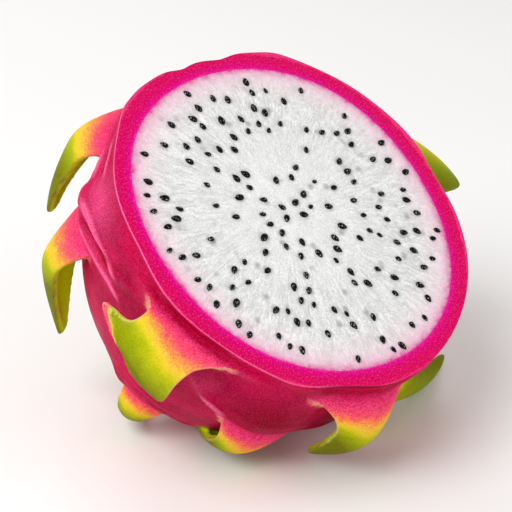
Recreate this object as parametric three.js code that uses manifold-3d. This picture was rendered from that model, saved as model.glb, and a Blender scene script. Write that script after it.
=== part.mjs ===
// Half a white-fleshed dragon fruit, cut across and lying on its round side.
// Millimetres and degrees, +Z up. The origin is the middle of the flat spot that it rests on.
//
// The fruit has a frame of its own: the cut face is z = 0 and faces +Z, and the blossom end
// is the pole at z = -halfDepth. A place on the skin is given by two angles: "turn" runs round
// the fruit from +X, and "down" runs from the cut (0) to the pole (90).
import * as THREE from 'three';
import { mergeVertices } from 'three/addons/utils/BufferGeometryUtils.js';
import Module from 'manifold-3d';

// The whole half
const cutRadius = 44.2;
const halfDepth = 64;
const fullness = 2.2;
const cutTilt = 39.2;
const restDepth = 1.2;

// Rind and flesh
const rindWall = 4.3;
const fleshGap = 0.3;
const rindColour = 0xc9245c;
const fleshColour = 0xeceae6;

// Blossom end: a shallow dimple with a raised lip
const dimpleRadius = 6.5;
const dimpleDepth = 2.2;
const dimpleLip = 1.2;
const dimpleLipSpread = 3;

// The rim is not round: low swellings (+) and flats (-), which fade away below the cut
const rimSwells = [
  { turn: -32, rise: 0.8, spread: 20 },
  { turn: -6, rise: -1.0, spread: 8 },
  { turn: 38, rise: 1.1, spread: 32 },
  { turn: 57, rise: 0.5, spread: 9 },
  { turn: 87, rise: -1.2, spread: 13 },
  { turn: 174, rise: -1.3, spread: 14 },
  { turn: 202, rise: -0.8, spread: 14 },
  { turn: 251, rise: -1.0, spread: 10 },
];
const rimSwellFade = 26;

// The flesh is very slightly scalloped where the rind bulges
const fleshWave = { threeFold: 0.25, threeFoldTurn: 35, fourFold: 0.4, fourFoldTurn: 42 };

// Leafy bracts. Each grows out of the skin along a root line and points to the blossom end.
//   turn, down   middle of the root
//   root         half width of the root line to either side
//   blade        half width of the blade to either side, which narrows like a bell to the tip
//   margin       instead of root and blade: [share of the length, half width] to either side
//   reach        length along the middle
//   lift         [share of the length, angle to the skin] from root to tip: over 0 leans out
//   fan          how far either side follows the skin round instead of lying in one plane
//   bow          how fast the root line turns to the blossom end (+) or the cut (-) to either side
//   cup, skew    hollowing of the blade, and its sideways sweep
//   roll, twist  slopes at which the left wing turns back to the skin, and is turned under
//   ramp         height that the skin swells to, in front of the root
const bracts = [
  // the side that shows beside the cut face
  { turn: 121, down: 3.5, root: [13, 11], blade: [7, 6.5], reach: 43.4, fan: [0.15, 0.15], cup: 1.4,
    bow: [0, 2], skew: 0.03, ramp: 1,
    lift: [[0, 42], [0.1, 57], [0.26, 25], [0.4, -0.7], [0.7, -7.8], [1, -20]] },
  { turn: 148, down: 13.8, root: [13, 19], blade: [7, 5.5], reach: 51.7, fan: [0.15, 0.15], cup: 1.1,
    bow: [0, -1.3], skew: 0.03, twist: 0.6, ramp: 2.5,
    lift: [[0, 30], [0.12, 47], [0.26, 22], [0.4, -13], [0.7, -20], [1, -22]] },
  { turn: 199, down: 2.6, blade: [14, 5.5], reach: 21, fan: [0.83, 0.3], cup: 0.05, skew: 0.12,
    bow: [0.35, 0], ramp: 0.8, roll: 0.1,
    margin: [[[0, 12.2], [0.1, 10.6], [0.2, 8.5], [0.3, 11], [0.38, 9.9], [0.44, 12], [0.5, 19],
      [0.56, 21.9], [0.61, 16.5], [0.65, 13], [0.7, 9.5], [0.76, 8], [0.85, 5.2], [0.93, 4.4], [1, 3.6]],
    [[0, 15], [0.1, 10.5], [0.25, 6], [0.5, 4.5], [0.8, 4], [0.93, 3.8], [1, 3.4]]],
    lift: [[0, 30], [0.2, 70], [0.4, 26], [0.6, 21], [0.8, -15], [1, -20]] },
  { turn: 200.7, down: 40.3, blade: [8.5, 8], reach: 24.5, fan: [0.5, 0.3], cup: 1.5, skew: 0.03,
    bow: [-2.5, 0.6], ramp: 2,
    margin: [[[0, 6.5], [0.2, 4.9], [0.5, 3.9], [0.8, 2.7], [1, 1.5]],
      [[0, 12.5], [0.12, 8.2], [0.3, 5.9], [0.5, 4.6], [0.8, 3.1], [1, 1.6]]],
    lift: [[0, 30], [0.2, 58], [0.4, 21], [0.6, 0], [0.8, -36], [1, -60]] },
  { turn: 236, down: 20, root: [16, 14], blade: [6.2, 8.7], reach: 30.5, cup: 0.8, ramp: 2.2, skew: -0.12,
    bow: [-2, 0], lift: [[0, 30], [0.15, 49], [0.3, 15.5], [0.45, -14.5], [0.7, -35], [1, -60]] },
  { turn: 261, down: 2, blade: [9, 7.5], reach: 35.5, fan: [0.15, 0.15], cup: 1.1, bow: [-0.4, 0.3],
    ramp: 0.8,
    margin: [[[0, 24], [0.04, 20], [0.08, 16], [0.13, 12], [0.2, 9.5], [0.3, 8], [0.45, 7.2], [0.6, 6.6],
      [0.75, 5.6], [0.88, 4.2], [1, 1.8]],
    [[0, 15.5], [0.06, 13], [0.14, 11], [0.35, 7.7], [0.7, 4.5], [1, 1.3]]],
    lift: [[0, 30], [0.16, 57], [0.32, 26], [0.5, -10], [0.75, -24], [1, -30]] },
  { turn: 296, down: 17, root: [15, 13], blade: [9, 7], reach: 27.1, cup: 0.85, skew: 1.14, ramp: 1.5,
    bow: [-0.3, -0.15],
    margin: [[[0, 15.2], [0.3, 11.4], [0.6, 7.1], [0.85, 4.3], [1, 3]],
      [[0, 10], [0.3, 7.2], [0.6, 5.5], [0.85, 4.6], [1, 3.2]]],
    lift: [[0, 50], [0.3, 61], [0.6, 42], [1, 42]] },
  { turn: 6.2, down: 2.6, root: [13, 19], blade: [12, 13], reach: 27, cup: 0.33, skew: -0.3, ramp: 0.8,
    bow: [0, 0], lift: [[0, 60], [0.2, 75], [0.5, 67.5], [1, 53.5]] },
  // the far side
  { turn: 341, down: 30, root: [13, 14], blade: [7, 8], reach: 26, skew: -0.1,
    lift: [[0, 35], [0.2, 60], [0.45, 40], [0.7, 20], [1, 10]] },
  { turn: 28, down: 33, root: [12, 15], blade: [8, 7], reach: 31, skew: 0.1,
    lift: [[0, 35], [0.2, 60], [0.45, 30], [0.7, 0], [1, -20]] },
  { turn: 57, down: 16, root: [13, 13], blade: [7.5, 8], reach: 29, skew: -0.1,
    lift: [[0, 30], [0.2, 46], [0.45, 16], [0.7, -6], [1, -16]] },
  { turn: 87, down: 30, root: [15, 13], blade: [7, 7.5], reach: 33, skew: 0.12,
    lift: [[0, 32], [0.18, 54], [0.4, 22], [0.7, -12], [1, -28]] },
  { turn: 121, down: 46, root: [12, 14], blade: [7.5, 6.5], reach: 26,
    lift: [[0, 30], [0.2, 42], [0.45, 14], [0.7, -8], [1, -24]] },
  { turn: 149, down: 62, root: [10, 10], blade: [6.5, 6], reach: 17, ramp: 1.2,
    lift: [[0, 30], [0.2, 44], [0.5, 12], [1, -20]] },
  // the crown round the blossom end
  { turn: 4, down: 65, root: [8.5, 8.5], blade: [5.5, 5.5], reach: 15, ramp: 1,
    lift: [[0, 40], [0.25, 66], [0.6, 56], [1, 46]] },
  { turn: 58, down: 69, root: [8, 8], blade: [5.5, 5], reach: 17, ramp: 1,
    lift: [[0, 40], [0.25, 68], [0.6, 48], [1, 25]] },
  { turn: 118, down: 72, root: [7.5, 7.5], blade: [5, 5], reach: 15, ramp: 1,
    lift: [[0, 40], [0.25, 64], [0.6, 42], [1, 16]] },
  { turn: 232, down: 66, root: [9, 9], blade: [6, 6], reach: 8, ramp: 0.8,
    lift: [[0, 25], [0.3, 34], [0.6, 6], [1, -20]] },
];
const bractDefaults = { fan: [0.3, 0.3], bow: [-1, -1], cup: 0.9, skew: 0, roll: 0, twist: 0, ramp: 2 };
const bractRootSunk = 1.2;
const bractRootThick = 2.8;
const bractEdgeThick = 1.1;
const bractTipFullness = 0.42;
const bractTipWidth = 1.3;
const bractMarginEasing = 0.06;
const bractFirstShare = 0.003;
const bractRollStart = 11.5;
const bractTwistFrom = 0.15;
const bractTwistRun = 0.35;
const rampRun = 9;
const rampDrop = 3.5;
const rampSpread = 1.25;

// Seeds on the cut face, strewn at random and a little closer together towards the core
const seedCount = 150;
const seedFieldRadius = 38;
const seedCrowding = 0.58;
const seedCore = { x: -1.2, y: 1.2 };
const seedLength = 2.3;
const seedWidth = 1.45;
const seedProud = 0.5;
const seedSunk = 0.7;
const seedClearance = 2.75;
const seedGirdle = -0.12;
const seedHeadingSpread = 0.9;
const seedSizes = [0.85, 1.15];

// Divisions of the shells and of a blade
const skinAround = 72;
const skinDown = 18;
const hollowAround = 40;
const hollowDown = 9;
const bractAcross = 6;
const bractAlong = 9;
const bractRowCrowding = 1.3;

// How far the skin and the hollow run on above the cut before they are trimmed
const skinOverrun = 2;
const hollowOverrun = 6;

const rad = THREE.MathUtils.degToRad;
const wasm = await Module();
wasm.setup();

const bell = (q) => Math.exp(-q * q);

const wrapTurn = (degrees) => ((degrees + 540) % 360) - 180;

function fraction(value) {
  return value - Math.floor(value);
}

// The same scattered numbers from 0 to 1 on every run
function scatter(index, channel) {
  return fraction(Math.sin(index * 12.9898 + channel * 78.233) * 43758.5453);
}

// A place on the plain skin, with its outward normal and the directions to the pole and round
function skinPlace(turn, down, radius = cutRadius, depth = halfDepth) {
  const t = rad(turn);
  const d = rad(Math.max(down, 0.5));
  const power = 2 / fullness;
  const ring = radius * Math.cos(rad(down));
  const z = -depth * Math.sin(rad(Math.max(down, 0))) ** power;
  const ringSlope = -radius * Math.sin(d);
  const zSlope = -depth * power * Math.sin(d) ** (power - 1) * Math.cos(d);
  const size = Math.hypot(ringSlope, zSlope);
  const round = new THREE.Vector3(-Math.sin(t), Math.cos(t), 0);
  const outward = new THREE.Vector3(Math.cos(t), Math.sin(t), 0);
  const toPole = outward.clone().multiplyScalar(ringSlope / size).setZ(zSlope / size);
  const normal = outward.clone().multiplyScalar(-zSlope / size).setZ(ringSlope / size);
  const point = outward.clone().multiplyScalar(ring).setZ(z);
  return { point, normal, toPole, round };
}

function rimSwell(turn, down) {
  const fade = bell(down / rimSwellFade);
  return fade * rimSwells.reduce((sum, s) => sum + s.rise * bell(wrapTurn(turn - s.turn) / s.spread), 0);
}

// The skin swells up towards each root from the cut side, and drops away under the blade
function bractRamps(turn, down) {
  let height = 0;
  for (const b of bracts) {
    const ring = cutRadius * Math.cos(rad(b.down));
    const x = rad(wrapTurn(turn - b.turn)) * ring;
    const side = x < 0 ? 0 : 1;
    const rootDown = b.down + b.bow[side] * (x / 10) ** 2;
    const ahead = rad(rootDown - down) * halfDepth;
    const run = ahead > 0 ? bell(ahead / rampRun) : bell(ahead / rampDrop);
    height = Math.max(height, b.ramp * bell(x / (rampSpread * b.blade[side])) * run);
  }
  return height;
}

function blossomDimple(down) {
  const fromPole = rad(90 - down) * cutRadius;
  const lip = dimpleLip * bell((fromPole - dimpleRadius) / dimpleLipSpread);
  return lip - dimpleDepth * bell((1.2 * fromPole) / dimpleRadius);
}

function skinPoint(turn, down) {
  const { point, normal } = skinPlace(turn, down);
  const rise = rimSwell(turn, down) + bractRamps(turn, down) + blossomDimple(down);
  return point.addScaledVector(normal, rise);
}

function fleshRadius(turn) {
  const three = fleshWave.threeFold * Math.cos(rad(3 * (turn - fleshWave.threeFoldTurn)));
  const four = fleshWave.fourFold * Math.cos(rad(4 * (turn - fleshWave.fourFoldTurn)));
  return cutRadius - rindWall + three + four;
}

// The hollow of the rind, or, a gap inside it, the flesh
function hollowPoint(turn, down, inset) {
  const radius = fleshRadius(turn) - inset;
  return skinPlace(turn, down, radius, halfDepth - rindWall - inset).point;
}

// A closed dome: rings from the cut to the pole, and a flat lid at or above the cut
function domeGeometry(pointAt, around, rows, lidHeight) {
  const positions = [];
  const index = [];
  const ringStart = [];
  const addRing = (pointOf) => {
    ringStart.push(positions.length / 3);
    for (let i = 0; i < around; i += 1) {
      positions.push(...pointOf((i * 360) / around).toArray());
    }
  };
  if (lidHeight > 0) {
    addRing((turn) => pointAt(turn, 0).setZ(lidHeight));
  }
  for (let j = 0; j < rows; j += 1) {
    addRing((turn) => pointAt(turn, (j * 90) / rows));
  }
  for (let ring = 0; ring + 1 < ringStart.length; ring += 1) {
    for (let i = 0; i < around; i += 1) {
      const a = ringStart[ring] + i;
      const b = ringStart[ring] + ((i + 1) % around);
      const c = ringStart[ring + 1] + i;
      const d = ringStart[ring + 1] + ((i + 1) % around);
      index.push(a, c, d, a, d, b);
    }
  }
  const lid = positions.length / 3;
  positions.push(0, 0, lidHeight);
  const pole = lid + 1;
  positions.push(...pointAt(0, 90).toArray());
  const last = ringStart[ringStart.length - 1];
  for (let i = 0; i < around; i += 1) {
    const next = (i + 1) % around;
    index.push(lid, ringStart[0] + i, ringStart[0] + next);
    index.push(pole, last + next, last + i);
  }
  return indexedGeometry(positions, index);
}

function indexedGeometry(positions, index) {
  const geometry = new THREE.BufferGeometry();
  geometry.setAttribute('position', new THREE.Float32BufferAttribute(positions, 3));
  geometry.setIndex(index);
  return geometry;
}

function toManifold(geometry) {
  const bare = geometry.clone();
  bare.deleteAttribute('normal');
  bare.deleteAttribute('uv');
  const merged = mergeVertices(bare);
  return new wasm.Manifold(new wasm.Mesh({
    numProp: 3,
    vertProperties: Float32Array.from(merged.attributes.position.array),
    triVerts: Uint32Array.from(merged.index.array),
  }));
}

function fromManifold(solid) {
  const mesh = solid.getMesh();
  return indexedGeometry(mesh.vertProperties, Array.from(mesh.triVerts));
}

// The value at a share of the length, in a list of [share, value]
function alongList(list, share) {
  const k = Math.max(1, list.findIndex(([s]) => s >= share));
  const [s0, v0] = list[k - 1];
  const [s1, v1] = list[k];
  return v0 + ((v1 - v0) * (share - s0)) / (s1 - s0);
}

// The same with its corners rounded off
function smoothAlongList(list, share, spread) {
  const nearby = [-2, -1, 0, 1, 2].map((n) => Math.min(1, Math.max(0, share + (n * spread) / 2)));
  return nearby.reduce((sum, s) => sum + alongList(list, s), 0) / nearby.length;
}

// The middle line of a blade, stepped out from its lift angles
function bladeProfile(b) {
  const steps = 60;
  const profile = [];
  let along = 0;
  let rise = 0;
  for (let i = 0; i <= steps; i += 1) {
    const angle = rad(smoothAlongList(b.lift, i / steps, 0.05));
    profile.push({ along, rise, angle });
    along += (Math.cos(angle) * b.reach) / steps;
    rise += (Math.sin(angle) * b.reach) / steps;
  }
  return (share) => {
    const at = Math.min(share * steps, steps - 1e-6);
    const i = Math.floor(at);
    const f = at - i;
    const mix = (key) => profile[i][key] * (1 - f) + profile[i + 1][key] * f;
    return { along: mix('along'), rise: mix('rise'), angle: mix('angle') };
  };
}

// Half the width of a blade at a share of its length: its root, narrowing like a bell to the tip
function bladeHalfWidth(b, side, share) {
  if (b.margin) return smoothAlongList(b.margin[side], share, bractMarginEasing);
  const narrowing = b.blade[side] * (-Math.log(Math.max(share, bractFirstShare))) ** bractTipFullness;
  const width = (narrowing ** -4 + b.root[side] ** -4) ** -0.25;
  return Math.max(width, bractTipWidth);
}

// One place of a blade: its outer face and its inner face
function bladePlace(b, profileAt, middle, x, share, edge) {
  const side = x < 0 ? 0 : 1;
  const turn = b.turn + THREE.MathUtils.radToDeg(x / (cutRadius * Math.cos(rad(b.down))));
  const place = skinPlace(turn, b.down + b.bow[side] * (x / 10) ** 2);
  const normal = middle.normal.clone().lerp(place.normal, b.fan[side]).normalize();
  const toPole = middle.toPole.clone().lerp(place.toPole, b.fan[side]);
  toPole.addScaledVector(normal, -toPole.dot(normal)).normalize();
  const { along, rise, angle } = profileAt(share);
  const facing = normal.clone().multiplyScalar(Math.cos(angle)).addScaledVector(toPole, -Math.sin(angle));
  const hollow = ((b.cup * x * x) / (2 * Math.min(...b.blade))) * Math.min(1, 2 * share)
    + b.roll * Math.max(0, -x - bractRollStart)
    + b.twist * Math.max(0, -x) * THREE.MathUtils.clamp((share - bractTwistFrom) / bractTwistRun, 0, 1);
  const outer = place.point.addScaledVector(place.normal, -bractRootSunk)
    .addScaledVector(toPole, along)
    .addScaledVector(normal, rise)
    .addScaledVector(facing, -hollow)
    .addScaledVector(middle.round, b.skew * b.reach * share * share);
  const thick = bractEdgeThick + (bractRootThick - bractEdgeThick) * (1 - share) * (1 - edge * edge);
  return { outer, inner: outer.clone().addScaledVector(facing, -thick) };
}

// A blade has the same triangles on both faces, so they never cross
function bractGeometry(b) {
  const profileAt = bladeProfile(b);
  const middle = skinPlace(b.turn, b.down);
  const outer = [];
  const inner = [];
  for (let i = 0; i <= bractAcross; i += 1) {
    const edge = (2 * i) / bractAcross - 1;
    for (let j = 0; j <= bractAlong; j += 1) {
      const share = (j / bractAlong) ** bractRowCrowding;
      const x = edge * bladeHalfWidth(b, edge < 0 ? 0 : 1, share);
      const place = bladePlace(b, profileAt, middle, x, share, edge);
      outer.push(...place.outer.toArray());
      inner.push(...place.inner.toArray());
    }
  }
  const perColumn = bractAlong + 1;
  const back = outer.length / 3;
  const index = [];
  for (let i = 0; i < bractAcross; i += 1) {
    for (let j = 0; j < bractAlong; j += 1) {
      const a = i * perColumn + j;
      const c = a + perColumn;
      index.push(a, a + 1, c + 1, a, c + 1, c);
      index.push(back + a, back + c + 1, back + a + 1, back + a, back + c, back + c + 1);
    }
  }
  const border = [];
  for (let j = 0; j < bractAlong; j += 1) border.push(j);
  for (let i = 0; i < bractAcross; i += 1) border.push(i * perColumn + bractAlong);
  for (let j = bractAlong; j > 0; j -= 1) border.push(bractAcross * perColumn + j);
  for (let i = bractAcross; i > 0; i -= 1) border.push(i * perColumn);
  border.forEach((p, k) => {
    const q = border[(k + 1) % border.length];
    index.push(p, back + p, back + q, p, back + q, q);
  });
  return indexedGeometry([...outer, ...inner], index);
}

function seedPlaces() {
  const places = [];
  for (let k = 0; places.length < seedCount && k < 20 * seedCount; k += 1) {
    const ring = seedFieldRadius * scatter(k, 1) ** seedCrowding;
    const turn = rad(360 * scatter(k, 2));
    const x = ring * Math.cos(turn);
    const y = ring * Math.sin(turn);
    if (places.every((p) => Math.hypot(p.x - x, p.y - y) > seedClearance)) {
      const outwards = Math.atan2(y - seedCore.y, x - seedCore.x);
      const heading = outwards + seedHeadingSpread * (scatter(k, 3) - 0.5);
      const scale = THREE.MathUtils.lerp(...seedSizes, scatter(k, 4));
      places.push({ x, y, heading, scale });
    }
  }
  return places;
}

// A low drop-shaped bump: a six-sided outline between a crest and a root
function seedGeometry({ x, y, heading, scale }) {
  const outline = [[0.5, 0], [0.25, 0.46], [-0.15, 0.42], [-0.5, 0], [-0.15, -0.42], [0.25, -0.46]];
  const positions = [];
  for (const [a, w] of outline) {
    const along = a * seedLength * scale;
    const across = w * seedWidth * scale;
    positions.push(x + along * Math.cos(heading) - across * Math.sin(heading));
    positions.push(y + along * Math.sin(heading) + across * Math.cos(heading));
    positions.push(seedGirdle);
  }
  positions.push(x, y, seedProud, x, y, -seedSunk);
  const index = [];
  for (let i = 0; i < outline.length; i += 1) {
    const next = (i + 1) % outline.length;
    index.push(outline.length, i, next, outline.length + 1, next, i);
  }
  return indexedGeometry(positions, index);
}

// The lowest place of the plain skin once the cut face is tilted, in the fruit's frame
function lowestPlace() {
  let lowest = { height: Infinity };
  for (let down = 30; down < 90; down += 0.1) {
    const { point } = skinPlace(270, down);
    const height = point.y * Math.sin(rad(cutTilt)) + point.z * Math.cos(rad(cutTilt));
    if (height < lowest.height) lowest = { height, point };
  }
  return lowest;
}

// A big block on the far side of a plane, to cut with
function blockBeyond(origin, normal) {
  const size = 400;
  const block = new THREE.BoxGeometry(size, size, size);
  const turnTo = new THREE.Quaternion().setFromUnitVectors(new THREE.Vector3(0, 0, 1), normal);
  block.translate(0, 0, size / 2).applyQuaternion(turnTo).translate(...origin.toArray());
  return toManifold(block);
}

bracts.forEach((b) => {
  for (const key of Object.keys(bractDefaults)) b[key] ??= bractDefaults[key];
});

const lowest = lowestPlace();
const up = new THREE.Vector3(0, Math.sin(rad(cutTilt)), Math.cos(rad(cutTilt)));
const restCentre = lowest.point.clone().addScaledVector(up, restDepth);

const skin = toManifold(domeGeometry(skinPoint, skinAround, skinDown, skinOverrun));
const hollow = toManifold(
  domeGeometry((t, d) => hollowPoint(t, d, 0), hollowAround, hollowDown, hollowOverrun),
);
const blades = bracts.map((b) => toManifold(bractGeometry(b)));
const rindSolid = blades.reduce((sum, blade) => sum.add(blade), skin)
  .subtract(hollow)
  .subtract(blockBeyond(new THREE.Vector3(0, 0, 0), new THREE.Vector3(0, 0, 1)))
  .subtract(blockBeyond(restCentre, up.clone().negate()));

const fleshBody = toManifold(
  domeGeometry((t, d) => hollowPoint(t, d, fleshGap), hollowAround, hollowDown, 0),
);
const fleshSolid = seedPlaces().reduce((sum, place) => sum.add(toManifold(seedGeometry(place))), fleshBody);

const rind = new THREE.Mesh(
  fromManifold(rindSolid),
  new THREE.MeshStandardMaterial({ color: rindColour, roughness: 0.45, metalness: 0 }),
);
rind.name = 'rind';

const flesh = new THREE.Mesh(
  fromManifold(fleshSolid),
  new THREE.MeshStandardMaterial({ color: fleshColour, roughness: 0.4, metalness: 0 }),
);
flesh.name = 'flesh';

// The tilted half, set so that its resting spot is centred on the origin
const tilted = new THREE.Group();
tilted.rotation.x = rad(cutTilt);
tilted.position.copy(restCentre.clone().applyAxisAngle(new THREE.Vector3(1, 0, 0), rad(cutTilt)).negate());
tilted.add(rind, flesh);

const dragonFruit = new THREE.Group();
dragonFruit.add(tilted);

export default dragonFruit;
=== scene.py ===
import math

import bpy
import numpy as np
from mathutils import Matrix, Vector, kdtree


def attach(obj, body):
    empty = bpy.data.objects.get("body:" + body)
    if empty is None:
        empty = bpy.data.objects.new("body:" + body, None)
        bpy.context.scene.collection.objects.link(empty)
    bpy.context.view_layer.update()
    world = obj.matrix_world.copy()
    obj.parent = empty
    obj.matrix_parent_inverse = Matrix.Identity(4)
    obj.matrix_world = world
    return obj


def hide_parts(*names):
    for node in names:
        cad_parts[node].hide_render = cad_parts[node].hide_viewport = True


# Half a dragon fruit, cut across. Shapes are made in millimetres in the fruit's own frame, with
# the cut face at z = 0 facing +Z and the blossom end at the bottom, and then tilted into place.
# "turn" runs round the fruit from +X, and "down" runs from the cut (0) to the blossom end (90).

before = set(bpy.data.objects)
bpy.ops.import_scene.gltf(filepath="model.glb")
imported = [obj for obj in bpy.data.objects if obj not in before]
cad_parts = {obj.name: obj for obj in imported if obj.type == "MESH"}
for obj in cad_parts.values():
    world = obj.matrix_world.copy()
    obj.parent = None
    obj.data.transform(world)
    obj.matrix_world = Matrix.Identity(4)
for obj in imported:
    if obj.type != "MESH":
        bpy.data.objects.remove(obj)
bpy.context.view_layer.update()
print("frame loaded:", sorted(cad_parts))

fruit = {
    "cutRadius": 44.2,
    "halfDepth": 64.0,
    "fullness": 2.2,  # 2 is an ellipse, more is fuller
    "cutTilt": 39.2,
    "restDepth": 1.2,
    "rindWall": 4.3,
    "skinDome": (300, 200, 3),  # faces round it and along it, height of its lid
    "voxel": 0.42,
    "smoothing": 10,
    "keepFaces": 0.32,
    "rimBevel": 0.35,
    "hollowDome": (360, 40, 4),
}

dimple = {"radius": 6.5, "depth": 2.2, "steepness": 1.2, "lip": 1.2, "lipSpread": 3}

# turn, rise, spread of the low swellings (+) and flats (-) of the rim
rimSwells = [
    (-32, 0.8, 20),
    (-6, -1.0, 8),
    (38, 1.1, 32),
    (57, 0.5, 9),
    (60, 0.4, 5),
    (80, -0.8, 5),
    (87, -1.2, 13),
    (96, -0.8, 4),
    (174, -1.3, 14),
    (202, -0.8, 14),
    (251, -1.0, 10),
]
rimSwellFade = 26

# scallops of the flesh's edge: how many go round, height and turn of a crest
fleshWaves = [(3, 0.25, 35), (4, 0.4, 42)]

# turn, down: middle of the root
# root, blade: half widths of either to the left and right
# margin: instead of them, share of the length and half width, to the left and right
# reach: length along the middle
# lift: share of the length and angle to the skin, over 0 where the blade leans out
# fan: how far either side follows the skin round instead of lying in one plane
# bow: how fast the root line turns to the blossom end (+) or to the cut (-) at either side
# cup, skew: how much the blade is hollowed, and its sideways sweep
# roll, twist: slopes at which the left wing turns back to the skin, and is turned under
# ramp: how high the skin swells before the root
# groove, folds: strength of the crease and of the ridges before the root
# green: how green the root is, and how much greener the whole length makes the blade
# lean: how much greener either margin is
# edging: how pale the margin is, tan on pink parts and a painted lime highlight on green ones
bractDefaults = {
    "fan": (0.3, 0.3), "bow": (-1, -1), "cup": 0.9, "skew": 0, "roll": 0, "twist": 0, "ramp": 2,
    "margin": None, "root": None, "groove": 1, "folds": 0.4, "green": (0.04, 1.3), "lean": (0, 0),
    "edging": 0,
}
bracts = [
    {"turn": 121, "down": 3.5, "root": (13, 11), "blade": (6, 6.5), "reach": 43.4,
     "fan": (0.15, 0.15), "cup": 1.4, "ramp": 1, "bow": (0, 2), "skew": 0.03, "twist": 0.4,
     "green": (0.1, 1.5), "lean": (0.1, 0), "folds": 0.5,
     "lift": [(0, 42), (0.1, 57), (0.26, 25), (0.4, -0.7), (0.7, -7.8), (1, -20)]},
    {"turn": 148, "down": 13.8, "root": (13, 19), "blade": (7, 5.5), "reach": 51.7,
     "fan": (0.15, 0.15), "cup": 1.1, "ramp": 2.5, "bow": (0, -1.3), "skew": 0.03, "twist": 0.6,
     "green": (0.02, 1.8), "folds": 0.5,
     "lift": [(0, 30), (0.12, 47), (0.26, 22), (0.4, -13), (0.7, -20), (1, -22)]},
    {"turn": 199, "down": 2.6, "blade": (14, 5.5), "reach": 21, "fan": (0.83, 0.3), "cup": 0.05,
     "skew": 0.12, "bow": (0.35, 0), "ramp": 0.8, "roll": 0.1,
     "green": (0.14, 0.92), "lean": (0.3, 0.0), "edging": 1,
     "margin": (
         [(0, 12.2), (0.1, 10.6), (0.2, 8.5), (0.3, 11), (0.38, 9.9), (0.46, 11.5), (0.52, 18),
          (0.56, 23), (0.63, 23), (0.655, 9), (0.76, 7.8), (0.85, 6.2), (0.93, 5.5), (1, 3.2)],
         [(0, 15), (0.1, 10.5), (0.25, 6), (0.5, 4.5), (0.8, 3.9), (0.93, 3.3), (1, 2.4)]),
     "lift": [(0, 30), (0.2, 70), (0.4, 26), (0.6, 21), (0.8, -15), (1, -20)]},
    {"turn": 200.7, "down": 40.3, "blade": (8.5, 8), "reach": 24.5, "fan": (0.5, 0.3), "cup": 1.5,
     "skew": 0.03, "bow": (-2.5, 0.6), "ramp": 2, "green": (0.04, 1.5), "groove": 0.3,
     "margin": ([(0, 6.5), (0.2, 4.9), (0.5, 3.9), (0.8, 2.7), (1, 1.5)],
                [(0, 12.5), (0.12, 8.2), (0.3, 5.9), (0.5, 4.6), (0.8, 3.1), (1, 1.6)]),
     "lift": [(0, 30), (0.2, 58), (0.4, 21), (0.6, 0), (0.8, -36), (1, -60)]},
    {"turn": 236, "down": 20, "root": (16, 14), "blade": (6.2, 8.7), "reach": 30.5, "cup": 0.8,
     "ramp": 2.2, "skew": -0.12, "bow": (-2, 0), "green": (-0.08, 1.62), "lean": (0.25, 0.0),
     "folds": 0.25, "groove": 0.15, "edging": 0.7,
     "lift": [(0, 30), (0.15, 49), (0.3, 15.5), (0.45, -14.5), (0.7, -35), (1, -60)]},
    {"turn": 261, "down": 2, "blade": (9, 7.5), "reach": 35.5, "fan": (0.15, 0.15), "cup": 1.1,
     "bow": (-0.4, 0.3), "ramp": 0.8, "green": (-0.03, 1.66), "lean": (0.25, 0.2), "edging": 0.9,
     "margin": ([(0, 24), (0.04, 20), (0.08, 16), (0.13, 12), (0.2, 9.5), (0.3, 8), (0.45, 7.2),
                 (0.6, 6.6), (0.75, 5.6), (0.88, 4.2), (1, 1.8)],
                [(0, 17), (0.06, 15), (0.14, 12.6), (0.35, 8.4), (0.7, 4.6), (1, 1.3)]),
     "lift": [(0, 30), (0.16, 57), (0.32, 26), (0.5, -10), (0.75, -24), (1, -30)]},
    {"turn": 296, "down": 17, "root": (15, 13), "blade": (9, 7), "reach": 27.7, "cup": 0.85,
     "skew": 1.1, "ramp": 1.5, "bow": (-0.3, -0.15), "green": (0.78, 0.12), "lean": (-0.25, 0.15),
     "edging": 0.3,
     "margin": ([(0, 15.2), (0.3, 12), (0.6, 8.6), (0.85, 6.1), (1, 4.3)],
                [(0, 10), (0.3, 7.2), (0.6, 5.8), (0.85, 5.6), (1, 4.6)]),
     "lift": [(0, 50), (0.3, 61), (0.6, 42), (1, 42)]},
    {"turn": 6.2, "down": 2.6, "root": (13, 19), "blade": (12, 13), "reach": 27, "cup": 0.33,
     "skew": -0.3, "ramp": 0.8, "bow": (0, 0), "green": (0.76, -0.13), "lean": (0.35, -0.25),
     "lift": [(0, 60), (0.2, 75), (0.5, 67.5), (1, 53.5)]},
]
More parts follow.
